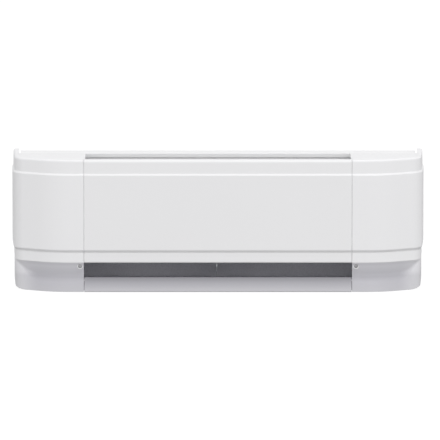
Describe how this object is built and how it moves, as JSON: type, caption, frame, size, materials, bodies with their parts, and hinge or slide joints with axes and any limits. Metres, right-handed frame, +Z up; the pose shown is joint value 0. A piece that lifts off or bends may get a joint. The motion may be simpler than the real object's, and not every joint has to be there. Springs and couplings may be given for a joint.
{
  "type": "baseboard heater",
  "caption": "Linear convector baseboard heater: white bowed front cover with rounded end caps, low inlet slot and top outlet, over a finned electric element on a wall chassis.",
  "frame": {"origin": "centre of the overall box at floor level, the underside of the bottom pan", "axes": "+X to the right seen from the front, along the wall; -Y is the front, +Y the wall; +Z up"},
  "size_m": [0.764, 0.142, 0.25],
  "materials": {
    "chassis_white": "satin powder coat",
    "cover_white": "satin powder coat",
    "cap_white": "fine satin moulding",
    "cup_white": "satin",
    "galvanised": "galvanised sheet",
    "dark_shield": "matt heat-resisting paint",
    "zinc_plate": "bright zinc plate",
    "screw_steel": "zinc plate",
    "element_sheath": "oxidised sheath",
    "fin_aluminium": "mill finish",
    "clamp_aluminium": "die cast",
    "white_ceramic": "unglazed",
    "red_silicone": "silicone",
    "black_rubber": "moulded",
    "copper_tube": "drawn copper",
    "black_phenolic": "moulded phenolic",
    "terminal_brass": "stamped",
    "lead_white": "silicone and braid sleeve",
    "wire_black": "wire insulation",
    "wire_red": "wire insulation",
    "wire_green": "wire insulation",
    "connector_orange": "moulded",
    "screw_green": "green dye on zinc"
  },
  "bodies": {
    "chassis": {"back_panel": "chassis_white", "top_rail": "chassis_white", "bottom_pan": "chassis_white", "left_bulkhead": "galvanised", "right_bulkhead": "galvanised", "rear_heat_shield": "dark_shield", "outlet_deflector": "chassis_white", "hinge_rods": "zinc_plate", "screw_tabs": "galvanised", "centre_support": "galvanised", "heating_tube": "element_sheath", "element_fins": "fin_aluminium", "fin_end_plates": "galvanised", "terminal_pins": "zinc_plate", "terminal_insulators": "white_ceramic", "element_bushings": "red_silicone", "limit_capillary": "copper_tube", "capillary_grommets": "black_rubber", "limit_switch": "black_phenolic", "switch_terminals": "terminal_brass", "left_junction_box": "galvanised", "right_junction_box": "galvanised", "left_box_cover": "galvanised", "right_box_cover": "galvanised", "box_cover_screws": "zinc_plate", "element_lead": "lead_white", "black_wire": "wire_black", "red_wire": "wire_red", "ground_wire": "wire_green", "wire_connectors": "connector_orange", "wire_grommets": "black_rubber", "crimp_sleeves": "zinc_plate", "ground_screw": "screw_green", "cable_clamp": "clamp_aluminium", "knockout_discs": "galvanised", "shield_rivets": "zinc_plate"},
    "cover": {"front_panel": "cover_white", "left_end_cap": "cap_white", "right_end_cap": "cap_white", "front_heat_shield": "galvanised", "shield_standoffs": "zinc_plate", "left_joining_strip": "galvanised", "right_joining_strip": "galvanised", "joining_rivets": "zinc_plate", "hinge_hooks": "zinc_plate", "screw_cups": "cup_white"},
    "left_screw": {"left_cover_screw": "screw_steel"},
    "right_screw": {"right_cover_screw": "screw_steel"}
  },
  "joints": [
    {"name": "cover_swing", "type": "hinge", "parent": "chassis", "child": "cover", "pos_m": [0, 0.028, 0.2417], "axis": [-1, 0, 0], "range_deg": [0, 75]},
    {"name": "left_screw_draw", "type": "slide", "parent": "cover", "child": "left_screw", "axis": [0, -1, 0], "range_m": [0, 0.009]},
    {"name": "right_screw_draw", "type": "slide", "parent": "cover", "child": "right_screw", "axis": [0, -1, 0], "range_m": [0, 0.009]}
  ]
}
